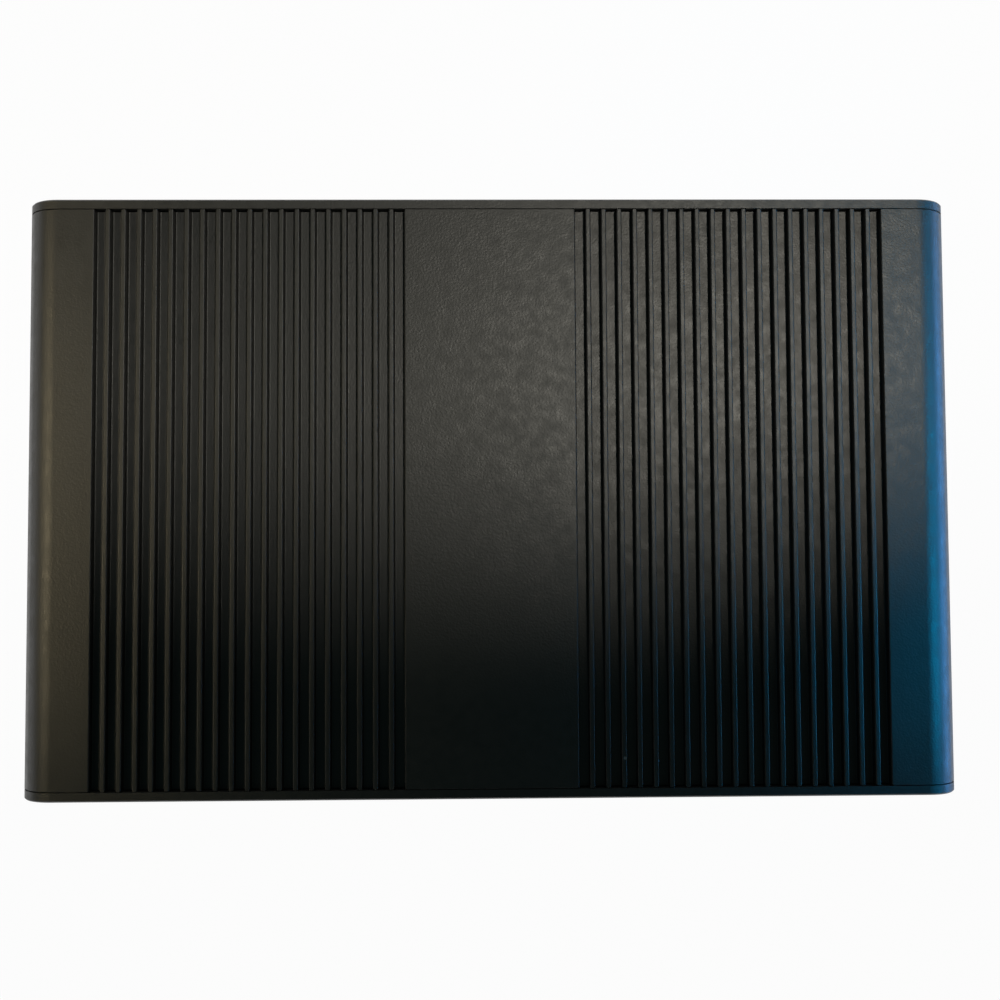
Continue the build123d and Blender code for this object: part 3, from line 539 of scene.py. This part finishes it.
# %% A row of strips
def strips(name, places, size, bow):
    """One mesh of many thin strips that lie along Y.

    The strip's section is a circle whose cosine and sine are replaced by their square roots, so
    that it is nearly a rectangle with round edges. Towards both ends the section shrinks evenly
    to 0.55 of its size. The strip's middle stands out by the bow times the square of a sine,
    downwards when the bow is negative.
    """
    width, thickness, length = size
    sides, spans = 12, 8
    around = np.linspace(0, 2 * np.pi, sides + 1)[:-1]
    cos, sin = np.cos(around), np.sin(around)
    across = width / 2 * np.sign(cos) * np.abs(cos) ** 0.5
    up = thickness / 2 * np.sign(sin) * np.abs(sin) ** 0.5
    along = np.linspace(0, 1, spans + 1)[:, None]
    taper = np.minimum(1, 0.55 + 4 * np.minimum(along, 1 - along))
    x = across * taper
    y = (along - 0.5) * length + 0 * x
    z = up * taper + bow * np.sin(np.pi * along) ** 2
    strip = np.stack([x, y, z], 2).reshape(-1, 3)
    points = (np.asarray(places, float)[:, None] + strip).reshape(-1, 3)
    rows, columns = np.meshgrid(np.arange(spans), np.arange(sides), indexing="ij")
    here = rows * sides + columns
    beside = rows * sides + (columns + 1) % sides
    quads = np.stack([here, here + sides, beside + sides, beside], 2).reshape(-1, 4)
    caps = np.stack([np.arange(sides), spans * sides + np.arange(sides)[::-1]])
    first = len(strip) * np.arange(len(places))[:, None, None]
    faces = (quads + first).reshape(-1, 4).tolist() + (caps + first).reshape(-1, sides).tolist()
    print(name, "strips", len(places), "faces", len(faces))
    return wear(from_grid(name, points, faces), "contact_gold")


def grid_of_places(xs, ys, zs):
    """Every combination of an x, a y and a z, as rows of three."""
    return np.stack(np.meshgrid(xs, ys, zs, indexing="ij"), 3).reshape(-1, 3)


tongue_undersides = (25.9, 35.3)
pad_offsets, pad_depth, pad_size = np.array([-3.5, -1.0, 1.0, 3.5]), 4.6, (1.0, 0.24, 3.4)
spring_offsets, spring_depth, spring_size = 2.0 * np.arange(-2, 3), 9.0, (0.6, 0.24, 4.4)
for number in (1, 2, 3):
    low, high = np.array(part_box(f"usb_insert_{number}")) / mm
    middle = (low[0] + high[0]) / 2
    mouth, inward = mouth_of(low, high)
    pads = grid_of_places(middle + pad_offsets, [mouth + inward * pad_depth], tongue_undersides)
    strips(f"usb_pads_{number}", pads, pad_size, -0.06)
    bowed = grid_of_places(middle + spring_offsets, [mouth + inward * spring_depth], tongue_undersides)
    strips(f"usb_springs_{number}", bowed, spring_size, -0.32)

contact_depth, contact_size, contacts_in_row = 4.6, (0.34, 0.16, 6.6), 10
for name, pitch, thickness in (("hdmi", 1.0, 1.1), ("display", 1.25, 1.3)):
    low, high = np.array(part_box(f"{name}_insert")) / mm
    middle, level = (low[0] + high[0]) / 2, (low[2] + high[2]) / 2
    row = middle + pitch * (np.arange(contacts_in_row) - (contacts_in_row - 1) / 2)
    faces_of_tongue = level + np.array([-0.5, 0.5]) * thickness
    strips(f"{name}_contacts", grid_of_places(row, [high[1] - contact_depth], faces_of_tongue),
           contact_size, 0.0)

# %% [markdown]
# ## Give the finishes to the nodes
#
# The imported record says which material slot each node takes, and the finishes have the slots'
# names. So one loop dresses all the nodes, and a new node would be dressed the same way.

# %% Assign finishes by material slot
slot_of = {part["node"]: part["material_slot"] for part in frame["record"]["subparts"]}
for node, slot in slot_of.items():
    if slot in finishes:
        frame["nodes"][node].data.materials.clear()
        frame["nodes"][node].data.materials.append(finishes[slot])
print("finished", sum(slot in finishes for slot in slot_of.values()), "of", len(slot_of))

# %% [markdown]
# ## Paper, light and camera
#
# The product lies on white paper that sweeps up at its rim, like the inside of a very wide
# plate: a surface of revolution, with a flat middle and a quarter circle for the rim. To the
# camera, and in reflections, the paper is its own white. To all other rays it is plain paper,
# so it keeps the object's shadow.

# %% The paper
def make_paper():
    """A disc whose rim turns up by a quarter circle, as rings of points about the upright axis."""
    reach, rise = 2600.0, 420.0
    bend = np.linspace(0, np.pi / 2, 13)
    radius = np.concatenate([[0.4, 900.0], reach + rise * np.sin(bend)])
    height = np.concatenate([[0.0, 0.0], rise * (1 - np.cos(bend))])
    sides = 96
    turn = np.linspace(0, 2 * np.pi, sides + 1)[:-1]
    points = np.stack([radius[:, None] * np.cos(turn), radius[:, None] * np.sin(turn),
                       height[:, None] + 0 * turn], 2)
    rows, columns = np.meshgrid(np.arange(len(radius) - 1), np.arange(sides), indexing="ij")
    here = rows * sides + columns
    beside = rows * sides + (columns + 1) % sides
    quads = np.stack([here, here + sides, beside + sides, beside], 2).reshape(-1, 4)
    paper = from_grid("paper", points.reshape(-1, 3), quads.tolist() + [np.arange(sides).tolist()])
    return paper


def paper_white(paper):
    """White for camera, glossy and transmission rays, and a plain rough surface for all others."""
    material = bpy.data.materials.new("paper")
    material.use_nodes = True
    tree = material.node_tree
    shader = tree.nodes["Principled BSDF"]
    shader.inputs["Base Color"].default_value = (0.8, 0.8, 0.8, 1)
    shader.inputs["Roughness"].default_value = 0.8
    path = tree.nodes.new("ShaderNodeLightPath")
    seen = Wire(tree, path.outputs["Is Camera Ray"])
    seen = seen.math("MAXIMUM", seen, Wire(tree, path.outputs["Is Glossy Ray"]))
    seen = seen.math("MAXIMUM", seen, Wire(tree, path.outputs["Is Transmission Ray"]))
    glow_share = 0.97
    glow = tree.nodes.new("ShaderNodeEmission")
    mixed = tree.nodes.new("ShaderNodeMixShader")
    tree.links.new((glow_share * seen).socket, mixed.inputs[0])
    tree.links.new(shader.outputs[0], mixed.inputs[1])
    tree.links.new(glow.outputs[0], mixed.inputs[2])
    tree.links.new(mixed.outputs[0], tree.nodes["Material Output"].inputs["Surface"])
    paper.data.materials.append(material)


paper_white(make_paper())
print("the paper is white to camera, glossy and transmission rays")

# %% [markdown]
# Past the paper's rim there is only the world. It is white to the camera and through clear
# plastic, so no edge shows. To all other rays it is dim and a little cool, as a room is that
# gets its light from a blue sky, and it keeps the shadows from going quite black.

# %% The world
def make_world(dim):
    """A dim, slightly cool world that is white to the camera and to rays through clear plastic."""
    world = bpy.data.worlds.new("studio")
    bpy.context.scene.world = world
    world.use_nodes = True
    tree = world.node_tree
    path = tree.nodes.new("ShaderNodeLightPath")
    seen = Wire(tree, path.outputs["Is Camera Ray"])
    seen = seen.math("MAXIMUM", seen, Wire(tree, path.outputs["Is Transmission Ray"]))
    tint = blend(seen, (0.60, 1.0, 0.97), (1.0, 1.0, 1.0))
    tree.links.new(tint.socket, tree.nodes["Background"].inputs["Color"])
    tree.links.new((dim + (1 - dim) * seen).socket, tree.nodes["Background"].inputs["Strength"])
    return world


print("world", make_world(0.05).name)

# %% [markdown]
# The photograph was taken beside a window. A hard, slightly warm light falls from the right and
# behind, and its edge lies across the case: the far half is bright, the near half almost black.
# A spot lamp with a soft edge does that. A warm panel on the left brings out the round of that
# side. Two blue panels on the right are the window: a low one for the side wall, and the sky
# above it, which the right margin mirrors. Grids keep all three off the rest of the top. Two
# plain low panels, in front and behind, face the end plates and leave the top alone.

# %% The lamps
def aimed(name, lamp, place, aim):
    """Puts a lamp at a place, in metres, and turns it to face a point."""
    holder = bpy.data.objects.new(name, lamp)
    bpy.context.scene.collection.objects.link(holder)
    back = np.array(place, float) - np.array(aim, float)
    tilt = math.atan2(math.hypot(back[0], back[1]), back[2])
    holder.location = place
    holder.rotation_euler = (tilt, 0.0, math.atan2(back[0], -back[1]))
    holder.visible_camera = False
    print(name, "stands", round(math.dist(place, aim), 2), "m away")
    return holder


def panel(name, place, size, radiance, colour=(1.0, 1.0, 1.0), aim=(0.0, 0.0, 0.03), spread=180):
    """A rectangular lamp of even brightness. A grid in front of it narrows its spread, in degrees.

    Power in watts is pi times the brightness times the panel's area.
    """
    lamp = bpy.data.lights.new(name, "AREA")
    lamp.shape = "RECTANGLE"
    lamp.size, lamp.size_y = size
    lamp.energy = math.pi * radiance * size[0] * size[1]
    lamp.spread = math.radians(spread)
    lamp.color = colour
    return aimed(name, lamp, place, aim)


def spot(name, place, aim, irradiance, half_cone, soft_share, radius, colour):
    """A focused lamp. Its power in watts is 4 pi times the squared distance times the irradiance."""
    lamp = bpy.data.lights.new(name, "SPOT")
    distance = math.dist(place, aim)
    lamp.energy = 4 * math.pi * distance ** 2 * irradiance
    lamp.color = colour
    lamp.spot_size = 2 * math.radians(half_cone)
    lamp.spot_blend = soft_share
    lamp.shadow_soft_size = radius
    return aimed(name, lamp, place, aim)


spot("key_lamp", (0.26, 0.15, 1.05), aim=(0.01, 0.332, 0.05), irradiance=1.14, half_cone=19.45,
     soft_share=0.13, radius=0.03, colour=(1.0, 0.95, 0.83))
panel("left_softbox", (-0.25, 0.01, 0.24), (0.14, 0.03), 1.05, colour=(1.0, 0.83, 0.52),
      aim=(-0.10, 0.01, 0.045), spread=35)
panel("right_sky", (0.26, 0.02, 0.18), (0.20, 0.03), 1.20, colour=(0.0, 0.50, 1.0),
      aim=(0.105, 0.04, 0.045), spread=25)
panel("right_window", (0.22, 0.0, 0.044), (0.18, 0.03), 1.0, colour=(0.0, 0.36, 1.0),
      aim=(0.10, 0.0, 0.042), spread=40)
panel("rear_card", (0.0, 1.0, 0.10), (1.4, 0.3), 1.6)
panel("front_card", (0.0, -1.0, 0.10), (1.4, 0.3), 1.6)

# %% [markdown]
# The camera stands a quarter of a metre above the case and looks almost straight down. It is
# so near that its small tilt makes the near end of the case wider in the picture than the far
# end. Its place and its tilts were fitted to the four corners.

# %% The camera
eye = bpy.data.cameras.new("photographer")
eye.sensor_width = 36.0
eye.lens = 42.42
eye.clip_start = 0.01
eye.dof.use_dof = False
camera = bpy.data.objects.new("photographer", eye)
bpy.context.scene.collection.objects.link(camera)
camera.location = (-2.27 * mm, -12.6 * mm, 298.0 * mm)
camera.rotation_euler = [math.radians(a) for a in (2.673, -0.941, -0.311)]
bpy.context.scene.camera = camera
bpy.context.scene.view_settings.view_transform = "Standard"
print("camera height in mm", round(camera.location.z / mm, 1))
